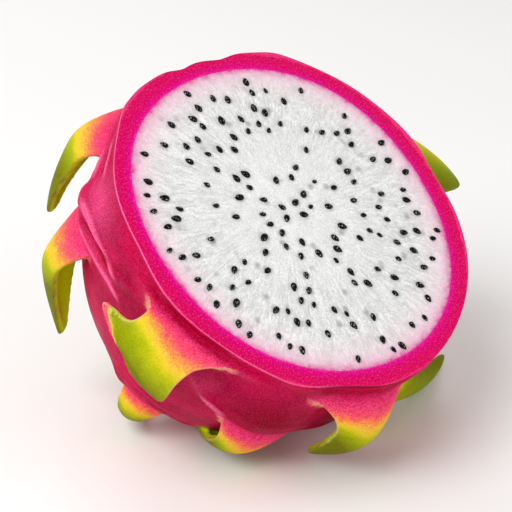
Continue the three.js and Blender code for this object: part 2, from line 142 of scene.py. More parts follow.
# bracts behind and underneath: turn, down, root, blade, reach, lift and what is unlike the defaults
hiddenBracts = [
    (341, 30, (13, 14), (7, 8), 26,
     [(0, 35), (0.2, 60), (0.45, 40), (0.7, 20), (1, 10)], {"skew": -0.1}),
    (28, 33, (12, 15), (8, 7), 31,
     [(0, 35), (0.2, 60), (0.45, 30), (0.7, 0), (1, -20)], {"skew": 0.1}),
    (57, 16, (13, 13), (7.5, 8), 29,
     [(0, 30), (0.2, 46), (0.45, 16), (0.7, -6), (1, -16)], {"skew": -0.1, "folds": 0.6}),
    (87, 30, (15, 13), (7, 7.5), 33,
     [(0, 32), (0.18, 54), (0.4, 22), (0.7, -12), (1, -28)], {"skew": 0.12, "folds": 0.7}),
    (121, 46, (12, 14), (7.5, 6.5), 26,
     [(0, 30), (0.2, 42), (0.45, 14), (0.7, -8), (1, -24)], {}),
    (149, 62, (10, 10), (6.5, 6), 17,
     [(0, 30), (0.2, 44), (0.5, 12), (1, -20)], {"ramp": 1.2}),
    (4, 65, (8.5, 8.5), (5.5, 5.5), 15,
     [(0, 40), (0.25, 66), (0.6, 56), (1, 46)], {"ramp": 1}),
    (58, 69, (8, 8), (5.5, 5), 17,
     [(0, 40), (0.25, 68), (0.6, 48), (1, 25)], {"ramp": 1}),
    (118, 72, (7.5, 7.5), (5, 5), 15,
     [(0, 40), (0.25, 64), (0.6, 42), (1, 16)], {"ramp": 1}),
    (232, 66, (9, 9), (6, 6), 8,
     [(0, 25), (0.3, 34), (0.6, 6), (1, -20)], {"ramp": 0.8}),
]
hiddenNames = ("turn", "down", "root", "blade", "reach", "lift")
bracts += [{**dict(zip(hiddenNames, row)), **row[-1]} for row in hiddenBracts]
bracts = [{**bractDefaults, **bract} for bract in bracts]

bractMesh = {
    "across": 26,
    "along": 54,
    "rootCrowding": 1.3,  # over 1 the rows stand closer together at the root
    "steps": 240,
    "liftEasing": 0.07,
    "marginEasing": 0.09,
    "rootSunk": 1.2,
    "rootThick": 2.8,
    "edgeThick": 1.9,
    "leastHalf": 0.05,
    "tipFullness": 0.42,
    "tipWidth": 1.75,
    "tipRounding": 2.2,
    "tipExtra": 0.4,
    "twistFrom": 0.15,  # share of the length where the twist begins, and over how much it grows
    "twistRun": 0.35,
    "rollStart": 11.5,  # this far out the left wing starts to turn back
    "rollSeen": 30.1,  # beyond this, less the taper along the blade, the turned wing is pink
    "rollTaper": 28,
    "rollTone": 0.12,
    "leanFrom": 0.45,  # share of the length where the lean is whole
    "pinkRoot": 2.4,  # no place is greener than this times its share of the length
    "edgeLine": 0.5,
    "edgeFadeFrom": 0.55,
    "edgeFadeRun": 0.2,
    "edgeFade": 0.5,
}

# the skin at each root, in millimetres and in shares of the root's half width
rootSkin = {
    "rampRun": 9,
    "rampDrop": 3.5,
    "rampSpread": 1.25,
    "grooveDepth": 0.7,
    "grooveAhead": 1.0,
    "grooveWidth": 1.2,
    "grooveSpread": 1.1,
    "foldHeight": 0.8,
    "foldWander": 0.5,
    "foldWanderLength": 3.1,
    "foldLines": [(3.4, 1.1, 1), (7, 1.3, 0.6)],  # how far before the root, width, strength
    "endRidge": 0.8,
    "endRidgeSpread": 0.35,
    "endRidgeWidth": 1.7,
}


def bell(q):
    return np.exp(-q * q)


def wrapTurn(degrees):
    return (degrees + 540) % 360 - 180


def unit(vectors):
    return vectors / np.linalg.norm(vectors, axis=-1, keepdims=True)


def deselectAll():
    for each in bpy.context.selected_objects:
        each.select_set(False)


def pick(piece):
    deselectAll()
    piece.select_set(True)
    bpy.context.view_layer.objects.active = piece


def editMode():
    bpy.ops.object.mode_set(mode="EDIT")


def editAll():
    editMode()
    bpy.ops.mesh.select_all(action="SELECT")


def leaveEdit():
    bpy.ops.object.mode_set(mode="OBJECT")


def readPoints(piece, what="co"):
    flat = np.empty(len(piece.data.vertices) * 3)
    piece.data.vertices.foreach_get(what, flat)
    return flat.reshape(-1, 3)


def writePoints(piece, points):
    piece.data.vertices.foreach_set("co", np.ascontiguousarray(points, dtype=float).ravel())
    piece.data.update()


def applyModifier(piece, name, kind, **values):
    pick(piece)
    modifier = piece.modifiers.new(name, kind)
    for key, value in values.items():
        setattr(modifier, key, value)
    bpy.ops.object.modifier_apply(modifier=name)


def selectFaces(piece, wanted):
    pick(piece)
    editMode()
    bpy.ops.mesh.select_mode(type="FACE")
    bpy.ops.mesh.select_all(action="DESELECT")
    leaveEdit()
    for face in piece.data.polygons:
        face.select = bool(wanted(face))


def turnOutwards(piece):
    pick(piece)
    editAll()
    bpy.ops.mesh.normals_make_consistent(inside=False)
    leaveEdit()


def skinFrame(turn, down, radius=None, depth=None):
    # points on the plain skin, their outward normals, and the directions to the pole and sideways
    radius = fruit["cutRadius"] if radius is None else radius
    depth = fruit["halfDepth"] if depth is None else depth
    t = np.radians(turn)
    d = np.radians(np.maximum(down, 0.5))  # the slope has no value at the very rim
    power = 2 / fruit["fullness"]
    z = -depth * np.sin(np.radians(np.clip(down, 0, 90))) ** power
    ringSlope = -radius * np.sin(d)
    zSlope = -depth * power * np.sin(d) ** (power - 1) * np.cos(d)
    size = np.hypot(ringSlope, zSlope)
    level = np.zeros_like(t)
    outward = np.stack([np.cos(t), np.sin(t), level], -1)
    sideways = np.stack([-np.sin(t), np.cos(t), level], -1)
    up = np.array([0.0, 0.0, 1.0])
    point = outward * (radius * np.cos(np.radians(down)))[..., None] + up * z[..., None]
    toPole = outward * (ringSlope / size)[..., None] + up * (zSlope / size)[..., None]
    normal = outward * (-zSlope / size)[..., None] + up * (ringSlope / size)[..., None]
    return point, normal, toPole, sideways


def rimSwell(turn, down):
    total = sum(rise * bell(wrapTurn(turn - middle) / spread) for middle, rise, spread in rimSwells)
    return bell(down / rimSwellFade) * total


def ringAt(down):
    return fruit["cutRadius"] * math.cos(math.radians(down))


def sided(pair, right):
    return np.where(right, pair[1], pair[0])


def fromRoot(b, turn, down):
    # millimetres along a root line and in front of it, and the half width of the root there
    x = np.radians(wrapTurn(turn - b["turn"])) * ringAt(b["down"])
    halves = b["root"] or [side[0][1] for side in b["margin"]]
    line = b["down"] + sided(b["bow"], x >= 0) * (x / 10) ** 2
    return x, np.radians(line - down) * fruit["halfDepth"], sided(halves, x >= 0)


def bractRamps(turn, down):
    # the skin swells up to each root, creases before it, and carries a low ridge past its ends
    height = np.zeros_like(turn)
    extra = np.zeros_like(turn)
    for b in bracts:
        x, ahead, half = fromRoot(b, turn, down)
        blade = sided(b["blade"], x >= 0)
        run = bell(ahead / np.where(ahead > 0, rootSkin["rampRun"], rootSkin["rampDrop"]))
        height = np.maximum(height, b["ramp"] * bell(x / (rootSkin["rampSpread"] * blade)) * run)
        pastRoot = (np.abs(x) - half) / (rootSkin["endRidgeSpread"] * half)
        extra += rootSkin["endRidge"] * bell(pastRoot) * bell(ahead / rootSkin["endRidgeWidth"])
        wave = np.sin(x / rootSkin["foldWanderLength"] + b["turn"])
        wander = ahead + rootSkin["foldWander"] * wave
        lines = sum(much * bell((wander - at) / width) for at, width, much in rootSkin["foldLines"])
        extra += rootSkin["foldHeight"] * b["folds"] * bell(x / half) * lines
        groove = bell((ahead - rootSkin["grooveAhead"]) / rootSkin["grooveWidth"])
        groove = groove * bell(x / (rootSkin["grooveSpread"] * half))
        extra -= rootSkin["grooveDepth"] * b["groove"] * groove
    return height + extra


# folds that run over the skin: places (turn, down), height (+ ridge, - furrow) and width
skinFolds = [
    ([(148, 15.5), (155.5, 15.5), (162, 15), (169.5, 13.8), (177, 14)], 0.7, 0.9),
    ([(144.5, 10.5), (153.5, 9.5), (158.5, 10), (164.5, 10.2), (172, 11)], 0.7, 0.9),
    ([(146, 13), (154.5, 12.4), (161, 12.4), (169, 12)], -0.8, 0.8),
    ([(131, 5.6), (136, 5.8), (141, 8)], 0.6, 0.8),
    ([(133, 1.6), (139, 2.2), (146, 3.6)], 0.5, 0.8),
    ([(138.5, 10.5), (143.5, 11.5), (148, 13)], 1.3, 2.8),
    ([(132, 3.6), (138, 4), (143, 5.6)], -0.7, 0.7),
    ([(213, 16), (218.5, 17.5), (224, 19.5)], 0.8, 0.9),
    ([(191.5, 1.8), (197, 2.6), (202.5, 2.8), (208.5, 3), (215, 3.2)], -0.5, 0.7),
    ([(241, 1.6), (248, 2.2), (256.5, 2.8), (264, 2.6), (272, 1.9)], -0.6, 0.7),
]

foldCourse = {"stepsPerPlace": 12, "atEnds": 0.25, "growth": 1.5}


def foldField(turn, down, wanted):
    # height at each point of the folds that are wanted, which are lower at their ends
    height = np.zeros_like(turn)
    for spots, rise, wide in skinFolds:
        if not wanted(rise):
            continue
        steps = np.linspace(0, len(spots) - 1, foldCourse["stepsPerPlace"] * len(spots))
        spotTurns = np.interp(steps, np.arange(len(spots)), [spot[0] for spot in spots])
        spotDowns = np.interp(steps, np.arange(len(spots)), [spot[1] for spot in spots])
        nearest = np.full(len(turn), np.inf)
        fade = np.zeros(len(turn))
        for spotTurn, spotDown, step in zip(spotTurns, spotDowns, steps):
            across = np.radians(wrapTurn(turn - spotTurn)) * ringAt(spotDown)
            away = np.hypot(across, np.radians(down - spotDown) * fruit["halfDepth"])
            closer = away < nearest
            nearest = np.where(closer, away, nearest)
            grown = foldCourse["growth"] * min(step, steps[-1] - step)
            fade = np.where(closer, min(1, foldCourse["atEnds"] + grown), fade)
        height += rise * fade * bell(nearest / wide)
    return height


def blossomDimple(down):
    fromPole = np.radians(90 - down) * fruit["cutRadius"]
    lip = dimple["lip"] * bell((fromPole - dimple["radius"]) / dimple["lipSpread"])
    return lip - dimple["depth"] * bell(fromPole / dimple["radius"] * dimple["steepness"])


def fleshRadius(turn):
    radius = fruit["cutRadius"] - fruit["rindWall"]
    for times, height, crest in fleshWaves:
        radius = radius + height * np.cos(np.radians(times * (turn - crest)))
    return radius


def addDome(name, around, rings, lid, pointsAt):
    # half a round ball, moved out to the wanted surface, whose cut is then pulled up by lid
    deselectAll()
    bpy.ops.mesh.primitive_uv_sphere_add(segments=around, ring_count=rings, radius=1)
    dome = bpy.context.object
    dome.name = name
    editAll()
    bpy.ops.mesh.bisect(plane_co=(0, 0, 0), plane_no=(0, 0, 1), clear_outer=True, use_fill=True)
    bpy.ops.mesh.select_all(action="SELECT")
    bpy.ops.mesh.remove_doubles(threshold=1e-5)
    leaveEdit()
    ball = readPoints(dome)
    turn = np.degrees(np.arctan2(ball[:, 1], ball[:, 0]))
    down = np.degrees(np.arcsin(np.clip(-ball[:, 2], 0, 1)))
    writePoints(dome, pointsAt(turn, down))
    if lid > 0:
        top = down < 1e-3
        selectFaces(dome, lambda face: all(top[v] for v in face.vertices))
        editMode()
        bpy.ops.mesh.extrude_region_move(TRANSFORM_OT_translate={"value": (0, 0, lid)})
        leaveEdit()
    turnOutwards(dome)
    return dome


def skinPoints(turn, down):
    point, normal, _, _ = skinFrame(turn, down)
    rise = rimSwell(turn, down) + bractRamps(turn, down) + blossomDimple(down)
    rise += foldField(turn, down, lambda height: True)
    return point + normal * rise[:, None]


def hollowPoints(turn, down):
    radius = fleshRadius(turn)
    return skinFrame(turn, down, radius, fruit["halfDepth"] - fruit["rindWall"])[0]


def smoothAlong(pairs, share, spread):
    shares, values = zip(*pairs)
    nearby = [np.clip(share + n * spread / 3, 0, 1) for n in (-3, -2, -1, 0, 1, 2, 3)]
    return sum(np.interp(s, shares, values) for s in nearby) / len(nearby)


def bladeHalfWidth(b, side, share):
    if b["margin"]:
        return smoothAlong(b["margin"][side], share, bractMesh["marginEasing"])
    share = np.clip(share, 0.003, 0.99999)  # endlessly wide at 0, and no width at 1
    narrowing = b["blade"][side] * (-np.log(share)) ** bractMesh["tipFullness"]
    width = (narrowing ** -4 + b["root"][side] ** -4.0) ** -0.25
    return np.maximum(width, bractMesh["tipWidth"])


def bladeCourse(b, share):
    # how far the middle of a blade has come along the skin and off it, and its angle there
    steps = np.linspace(0, 1, bractMesh["steps"] + 1)
    angles = np.radians(smoothAlong(b["lift"], steps, bractMesh["liftEasing"]))
    reach = b["reach"] + bractMesh["tipExtra"]
    along = np.concatenate([[0], np.cumsum(np.cos(angles[:-1]))]) * reach / bractMesh["steps"]
    rise = np.concatenate([[0], np.cumsum(np.sin(angles[:-1]))]) * reach / bractMesh["steps"]
    return [np.interp(share, steps, values)[:, None] for values in (along, rise, angles)]


def bladeColours(b, edge, share, half):
    # how pale the margin of a blade is at its places, and how green the blade
    lean = sided(b["lean"], edge >= 0) * np.clip(share / bractMesh["leanFrom"], 0, 1)
    tone = b["green"][0] + b["green"][1] * share + lean * np.abs(edge)
    tone = np.minimum(tone, bractMesh["pinkRoot"] * share)
    fromMargin = half * (1 - np.abs(edge))
    if b["roll"]:
        rollSeen = bractMesh["rollSeen"] - bractMesh["rollTaper"] * share
        fromMargin = np.minimum(fromMargin, np.abs(edge * half + rollSeen))
        tone = np.where(edge * half < -rollSeen, bractMesh["rollTone"], tone)
    fade = np.clip((share - bractMesh["edgeFadeFrom"]) / bractMesh["edgeFadeRun"], 0, 1)
    line = bell(fromMargin / bractMesh["edgeLine"])
    return b["edging"] * line * (1 - bractMesh["edgeFade"] * fade), tone


def bladePlaces(b, edge, share):
    # outer face, facing direction, thickness, paleness of the margin and tone at places on a blade
    along, rise, angle = bladeCourse(b, share)
    right = edge >= 0
    half = sided([bladeHalfWidth(b, side, share) for side in (0, 1)], right)
    toTip = np.clip(b["reach"] * (1 - share) / bractMesh["tipRounding"], 0, 1)
    rounded = np.sqrt(1 - (1 - toTip) ** 2)
    half = half * rounded + bractMesh["leastHalf"]
    x = edge * half
    fan = sided(b["fan"], right)[:, None]
    turn = b["turn"] + np.degrees(x / ringAt(b["down"]))
    down = b["down"] + sided(b["bow"], right) * (x / 10) ** 2
    point, normalHere, poleHere, _ = skinFrame(turn, down)
    middleTurn = np.full_like(x, float(b["turn"]))
    middleDown = np.full_like(x, float(b["down"]))
    _, normalMiddle, poleMiddle, sideways = skinFrame(middleTurn, middleDown)
    normal = unit(normalMiddle * (1 - fan) + normalHere * fan)
    toPole = poleMiddle * (1 - fan) + poleHere * fan
    toPole = unit(toPole - normal * np.sum(toPole * normal, -1, keepdims=True))
    facing = normal * np.cos(angle) - toPole * np.sin(angle)
    turned = np.clip((share - bractMesh["twistFrom"]) / bractMesh["twistRun"], 0, 1)
    under = b["twist"] * np.maximum(0, -x) * turned
    rolled = b["roll"] * np.maximum(0, -x - bractMesh["rollStart"])
    hollow = b["cup"] * x ** 2 / (2 * min(b["blade"])) * np.minimum(1, 2 * share) + rolled + under
    thinner = bractMesh["rootThick"] - bractMesh["edgeThick"]
    thick = bractMesh["edgeThick"] + thinner * (1 - share) * (1 - edge ** 2)
    outer = point - normalHere * bractMesh["rootSunk"] + toPole * along + normal * rise
    outer = outer - facing * (hollow + 0.5 * thick * (1 - rounded))[:, None]
    outer = outer + sideways * (b["skew"] * b["reach"] * share ** 2)[:, None]
    margin, tone = bladeColours(b, edge, share, half)
    return outer, facing, np.maximum(0.1, thick * rounded), margin, tone


def addBract(b, number):
    deselectAll()
    bpy.ops.mesh.primitive_grid_add(
        x_subdivisions=bractMesh["across"], y_subdivisions=bractMesh["along"], size=2
    )
    blade = bpy.context.object
    blade.name = f"bract{number}"
    flat = readPoints(blade)
    edge = flat[:, 0]
    share = ((flat[:, 1] + 1) / 2) ** bractMesh["rootCrowding"]
    outer, facing, thick, margin, tone = bladePlaces(b, edge, share)
    writePoints(blade, outer)
    agree = sum(f.normal.dot(Vector(facing[f.vertices[0]])) for f in blade.data.polygons)
    if agree < 0:  # the grid has come out facing the skin
        editAll()
        bpy.ops.mesh.flip_normals()
        leaveEdit()
    group = blade.vertex_groups.new(name="thick")
    for i, t in enumerate(thick):
        group.add([i], t / bractMesh["rootThick"], "REPLACE")
    applyModifier(
        blade, "thickness", "SOLIDIFY", thickness=bractMesh["rootThick"], offset=-1,
        vertex_group="thick",
    )
    guide = {
        "outer": outer, "inner": outer - facing * thick[:, None], "facing": facing,
        "share": share, "margin": margin, "tone": tone,
    }
    return blade, guide


tilt = math.radians(fruit["cutTilt"])
upInFruit = Vector((0, math.sin(tilt), math.cos(tilt)))


def lowestPlace():
    # where the tilted skin is lowest, straight below the fruit's -Y side
    down = np.arange(30, 90, 0.1)
    points = skinFrame(np.full_like(down, 270.0), down)[0]
    height = points[:, 1] * math.sin(tilt) + points[:, 2] * math.cos(tilt)
    return Vector(points[np.argmin(height)])


restCentre = lowestPlace() + upInFruit * fruit["restDepth"]
seat = Matrix.Scale(0.001, 4) @ Matrix.Rotation(tilt, 4, "X") @ Matrix.Translation(-restCentre)


def seatPiece(piece):
    pick(piece)
    piece.matrix_world = seat
    bpy.ops.object.transform_apply(location=True, rotation=True, scale=True)


def buildRind():
    skin = addDome("rindSkin", *fruit["skinDome"], skinPoints)
    applyModifier(skin, "triangles", "TRIANGULATE")
    made = [addBract(b, number) for number, b in enumerate(bracts)]
    pick(skin)
    for blade, _ in made:
        blade.select_set(True)
    bpy.ops.object.join()
    skin.vertex_groups.clear()
    applyModifier(skin, "skinOver", "REMESH", mode="VOXEL", voxel_size=fruit["voxel"], adaptivity=0)
    applyModifier(skin, "soften", "SMOOTH", factor=0.5, iterations=fruit["smoothing"])
    applyModifier(skin, "fewerFaces", "DECIMATE", ratio=fruit["keepFaces"])
    print("rind remeshed:", len(skin.data.polygons), "faces")
    return skin, [guide for _, guide in made]


def cutRind(skin):
    pick(skin)
    editAll()
    bpy.ops.mesh.bisect(plane_co=(0, 0, 0), plane_no=(0, 0, 1), clear_outer=True, use_fill=True)
    bpy.ops.mesh.select_all(action="SELECT")
    bpy.ops.mesh.bisect(plane_co=restCentre, plane_no=-upInFruit, clear_outer=True, use_fill=True)
    leaveEdit()
    hollow = addDome("hollow", *fruit["hollowDome"], hollowPoints)
    applyModifier(
        skin, "hollowOut", "BOOLEAN", object=hollow, operation="DIFFERENCE", solver="MANIFOLD"
    )
    bpy.data.objects.remove(hollow)
    print("rind hollowed:", len(skin.data.polygons), "faces")


def isOnCut(face):
    return face.normal.z > 0.99 and abs(face.center.z) < 0.01


def bevelRim(skin):
    # the cut's outer edge is softened a little, as knife and skin leave it
    ring = set()
    wall = set()
    for face in skin.data.polygons:
        edges = {tuple(sorted(pair)) for pair in face.edge_keys}
        (ring if isOnCut(face) else wall).update(edges)
    points = readPoints(skin)
    far = np.hypot(points[:, 0], points[:, 1]) > fruit["cutRadius"] - 0.5 * fruit["rindWall"]
    selectFaces(skin, lambda face: False)
    for edge in skin.data.edges:
        pair = tuple(sorted(edge.vertices))
        edge.select = pair in ring and pair in wall and bool(far[pair[0]] and far[pair[1]])
    editMode()
    bpy.ops.mesh.select_mode(type="EDGE")
    bpy.ops.mesh.bevel(offset=fruit["rimBevel"], segments=2, affect="EDGES", clamp_overlap=True)
    leaveEdit()


def neighbourMean(piece, values, rounds):
    pairs = np.empty(len(piece.data.edges) * 2, dtype=int)
    piece.data.edges.foreach_get("vertices", pairs)
    a, b = pairs.reshape(-1, 2).T
    count = np.bincount(a, minlength=len(values)) + np.bincount(b, minlength=len(values))
    for _ in range(rounds):
        total = np.zeros_like(values)
        np.add.at(total, a, values[b])
        np.add.at(total, b, values[a])
        shape = (-1,) + (1,) * (values.ndim - 1)
        values = 0.5 * values + 0.5 * total / np.maximum(count, 1).reshape(shape)
    return values


def writeAttribute(piece, name, values):
    attribute = piece.data.attributes.new(name, "FLOAT", "POINT")
    attribute.data.foreach_set("value", np.ascontiguousarray(values, dtype=np.float32))


# turn, down, spread of either and strength of the skin's painted sheen (+) and painted shade (-)
# patches
sheenAndShadePatches = [
    (151, 5.5, 9, 4, 0.8),
    (160, 12.5, 12, 3.2, 0.45),
    (133, 4.5, 6, 4, 0.45),
    (235, 14.5, 13, 6.5, -1),
    (212, 12.5, 6, 4, 0.35),
]

# how the rind's fields are painted on its points, in millimetres unless they are shares
rindPaint = {
    "bladeReach": 1.2,  # a blade colours what is this near it, and fades out beyond
    "bladeFade": 0.9,
    "wrongSide": 1.2,  # a blade's other face counts as this much further away
    "opposed": -0.4,  # faces whose cosine is under this look the other way
    "rootFade": 0.12,
    "edgeRootFade": 0.1,
    "foldRounds": 14,
    "belowCut": 1.2,
    "rounds": {"tone": 3, "inside": 2, "onBract": 4, "margin": 1, "fold": 4},
    "creaseAhead": 1.6,
    "creaseWidth": 0.8,
    "furrowShade": 1.4,
    # the pale line on narrow folds is a painted highlight
    "narrowFold": 1,  # folds lower than this have a pale line
    "wrinkleSpread": 1.15,
    "wrinkleAhead": 4,
    "wrinkleRun": 4.5,
}


def skinPlace(points):
    turn = np.degrees(np.arctan2(points[:, 1], points[:, 0]))
    depth = np.clip(-points[:, 2] / fruit["halfDepth"], 0, 1)
    return turn, np.degrees(np.arcsin(depth ** (fruit["fullness"] / 2)))


# painted sheen and painted shade in patches on the skin
def sheenAndShadeField(points):
    turn, down = skinPlace(points)
    return sum(
        strength * bell(wrapTurn(turn - middleTurn) / wide) * bell((down - middleDown) / tall)
        for middleTurn, middleDown, wide, tall, strength in sheenAndShadePatches
    )


def creaseShadeField(points):
    # painted shade where the skin folds up to a root, and along each furrow
    turn, down = skinPlace(points)
    creaseShade = np.zeros(len(points))
    for b in bracts:
        x, ahead, half = fromRoot(b, turn, down)
        line = bell((ahead - rindPaint["creaseAhead"]) / rindPaint["creaseWidth"])
        creaseShade = np.maximum(creaseShade, b["groove"] * line * bell(x / half))
    furrows = foldField(turn, down, lambda rise: rise < 0)
    return np.maximum(creaseShade, -rindPaint["furrowShade"] * furrows)


def ridgeHighlightField(points):
    # a painted highlight along each narrow fold of the skin
    turn, down = skinPlace(points)
    return foldField(turn, down, lambda rise: 0 < rise < rindPaint["narrowFold"])


def wrinkleField(points):
    # the strongest wrinkles at each point: how strong, and where that is from the root
    turn, down = skinPlace(points)
    strength = np.zeros(len(points))
    inFront = np.zeros(len(points))
    alongRoot = np.zeros(len(points))
    for b in bracts:
        x, ahead, half = fromRoot(b, turn, down)
        here = b["folds"] * bell(x / (rindPaint["wrinkleSpread"] * half))
        here = here * bell((ahead - rindPaint["wrinkleAhead"]) / rindPaint["wrinkleRun"])
        stronger = here > strength
        strength = np.where(stronger, here, strength)
        inFront = np.where(stronger, ahead, inFront)
        alongRoot = np.where(stronger, x, alongRoot)
    return strength, inFront, alongRoot


def paintRind(skin, guides):
    # every point of the rind learns from the nearest blade how far along a bract it lies
    points = readPoints(skin)
    normals = readPoints(skin, "normal")
    tree = kdtree.KDTree(sum(2 * len(g["share"]) for g in guides))
    known = []
    for g in guides:
        for side, sign in (("outer", 1), ("inner", -1)):
            for k, place in enumerate(g[side]):
                tree.insert(place, len(known))
                facing = g["facing"][k] * sign
                known.append((facing, g["tone"][k], g["share"][k], side == "inner", g["margin"][k]))
    tree.balance()
    tone, inside, onBract, margin = (np.zeros(len(points)) for _ in range(4))
    for i, point in enumerate(points):
        best = None
        for _, index, distance in tree.find_n(point, 3):
            otherFace = np.dot(known[index][0], normals[i]) < rindPaint["opposed"]
            miss = distance + (rindPaint["wrongSide"] if otherFace else 0)
            if best is None or miss < best[0]:
                best = (miss, index)
        past = max(0.0, best[0] - rindPaint["bladeReach"])
        reach = max(0.0, 1 - past / rindPaint["bladeFade"])
        if reach > 0:
            _, toneHere, shareHere, isInner, marginHere = known[best[1]]
            onBract[i] = reach * min(1, shareHere / rindPaint["rootFade"])
            tone[i] = toneHere
            inside[i] = float(isInner) * reach
            margin[i] = reach * marginHere * min(1, shareHere / rindPaint["edgeRootFade"])
    smooth = neighbourMean(skin, points, rindPaint["foldRounds"])
    fold = np.sum((points - smooth) * normals, axis=1)
    fold[points[:, 2] > -rindPaint["belowCut"]] = 0
    painted = {
        "tone": tone * (onBract > 0), "inside": inside, "onBract": onBract, "margin": margin,
        "fold": fold,
    }
    for name, rounds in rindPaint["rounds"].items():
        writeAttribute(skin, name, neighbourMean(skin, painted[name], rounds))
    for name, field in (("sheenAndShade", sheenAndShadeField), ("creaseShade", creaseShadeField), ("ridgeHighlight", ridgeHighlightField)):
        writeAttribute(skin, name, field(points))
    for name, values in zip(("wrinkles", "inFront", "alongRoot"), wrinkleField(points)):
        writeAttribute(skin, name, values)


fleshCut = {
    "rings": 56,
    "waviness": 0.09,
    "waveLengths": (2.9, 4.1, 3.3, 5.2),
    "waveBends": (1.7, 1.3),
    "rimFade": 3,
    "dent": 0.22,
    "dentReach": 1.6,
}

seed = {
    "count": 150,
    "fieldRadius": 38.0,
    "crowding": 0.58,  # 0.5 is even, more draws them to the core
    "clearance": 2.75,
    "core": (-1.2, 1.2),
    "headingSpread": 0.9,
    "rollSpread": 0.5,
    "sizes": (0.72, 1.16),
    "around": 12,
    "rings": 8,
    "length": 2.3,
    "width": 1.45,
    "height": 1.2,
    "taper": 0.28,
    "bluntness": 0.16,
    "proud": 0.45,
    "sunkFrom": 0.72,  # past this share of the seeds, each is sunk deeper than the last
    "sunkMost": 0.75,
}


def scatter(index, channel):
    value = math.sin(index * 12.9898 + channel * 78.233) * 43758.5453
    return value - math.floor(value)


def seedPlaces():
    # strewn at random, a little closer together towards the core
    places = []
    for k in range(20 * seed["count"]):
        ring = seed["fieldRadius"] * scatter(k, 1) ** seed["crowding"]
        turn = math.radians(360 * scatter(k, 2))
        x, y = ring * math.cos(turn), ring * math.sin(turn)
        free = all(math.hypot(p["x"] - x, p["y"] - y) > seed["clearance"] for p in places)
        if free and len(places) < seed["count"]:
            heading = math.atan2(y - seed["core"][1], x - seed["core"][0])
            heading += seed["headingSpread"] * (scatter(k, 3) - 0.5)
            small, large = seed["sizes"]
            scale = small + (large - small) * scatter(k, 4)
            sunk = scatter(k, 5)
            places.append({"x": x, "y": y, "heading": heading, "scale": scale, "sunk": sunk})
    return places


def buildFlesh(places):
    around, rings, _ = fruit["hollowDome"]
    flesh = addDome("fleshPulp", around, rings, 0, hollowPoints)
    selectFaces(flesh, lambda face: face.normal.z > 0.99 and len(face.vertices) > 8)
    editMode()
    for ring in range(fleshCut["rings"], 1, -1):
        bpy.ops.mesh.extrude_region_move()
        smaller = (ring - 1) / ring
        bpy.ops.transform.resize(value=(smaller, smaller, 1), center_override=(0, 0, 0))
    leaveEdit()
    points = readPoints(flesh)
    onCut = points[:, 2] > -0.01
    x, y = points[:, 0], points[:, 1]
    r = np.hypot(x, y)
    inside = (fleshRadius(np.degrees(np.arctan2(y, x))) - r) / fleshCut["rimFade"]
    a, b, c, d = fleshCut["waveLengths"]
    bendX, bendY = fleshCut["waveBends"]
    wave = np.sin(x / a + bendX * np.sin(y / b)) * np.sin(y / c + bendY * np.sin(x / d))
    nearSeed = np.zeros(len(points))
    for p in places:
        away = np.hypot(x - p["x"], y - p["y"])
        nearSeed = np.maximum(nearSeed, bell(away / (fleshCut["dentReach"] * p["scale"])))
    height = fleshCut["waviness"] * wave - fleshCut["dent"] * nearSeed
    points[:, 2] += np.where(onCut, height * np.clip(inside, 0, 1), 0)
    writePoints(flesh, points)
    # nearSeed also lays painted shade round each seed in the pulp's colour
    writeAttribute(flesh, "nearSeed", np.where(onCut, nearSeed, 0))
    print("flesh built:", len(flesh.data.polygons), "faces")
    return flesh


def buildSeeds(places):
    deselectAll()
    bpy.ops.mesh.primitive_uv_sphere_add(
        segments=seed["around"], ring_count=seed["rings"], radius=1
    )
    pattern = bpy.context.object
    pattern.name = "seeds"
    ball = readPoints(pattern)
    # a drop: round at the tail, narrowed to a blunt point at the front
    narrow = 1 - seed["taper"] * ball[:, 0] - seed["bluntness"] * ball[:, 0] ** 2
    drop = np.stack([
        ball[:, 0] * seed["length"] / 2,
        ball[:, 1] * narrow * seed["width"] / 2,
        ball[:, 2] * narrow * seed["height"] / 2,
    ], -1)
    writePoints(pattern, drop)
    pick(pattern)
    bpy.ops.object.shade_smooth()
    copies = []
    for p in places:
        pick(pattern)
        bpy.ops.object.duplicate(linked=False)
        copy = bpy.context.object
        deeper = max(0, p["sunk"] - seed["sunkFrom"]) / (1 - seed["sunkFrom"])
        proud = seed["proud"] * (1 - seed["sunkMost"] * deeper)
        top = seed["height"] / 2 * p["scale"]
        copy.matrix_world = (
            Matrix.Translation((p["x"], p["y"], proud - top))
            @ Matrix.Rotation(p["heading"], 4, "Z")
            @ Matrix.Rotation(seed["rollSpread"] * (scatter(len(copies), 6) - 0.5), 4, "X")
            @ Matrix.Scale(p["scale"], 4)
        )
        copies.append(copy)
    bpy.data.objects.remove(pattern)
    pick(copies[0])
    for copy in copies:
        copy.select_set(True)
    bpy.ops.object.transform_apply(location=True, rotation=True, scale=True)
    bpy.ops.object.join()
    seeds = bpy.context.object
    seeds.name = "seeds"
    print("seeds built:", len(copies))
    return seeds


def colour(hexCode):
    parts = [int(hexCode[i:i + 2], 16) / 255 for i in (1, 3, 5)]
    return tuple(p / 12.92 if p <= 0.04045 else ((p + 0.055) / 1.055) ** 2.4 for p in parts) + (1,)


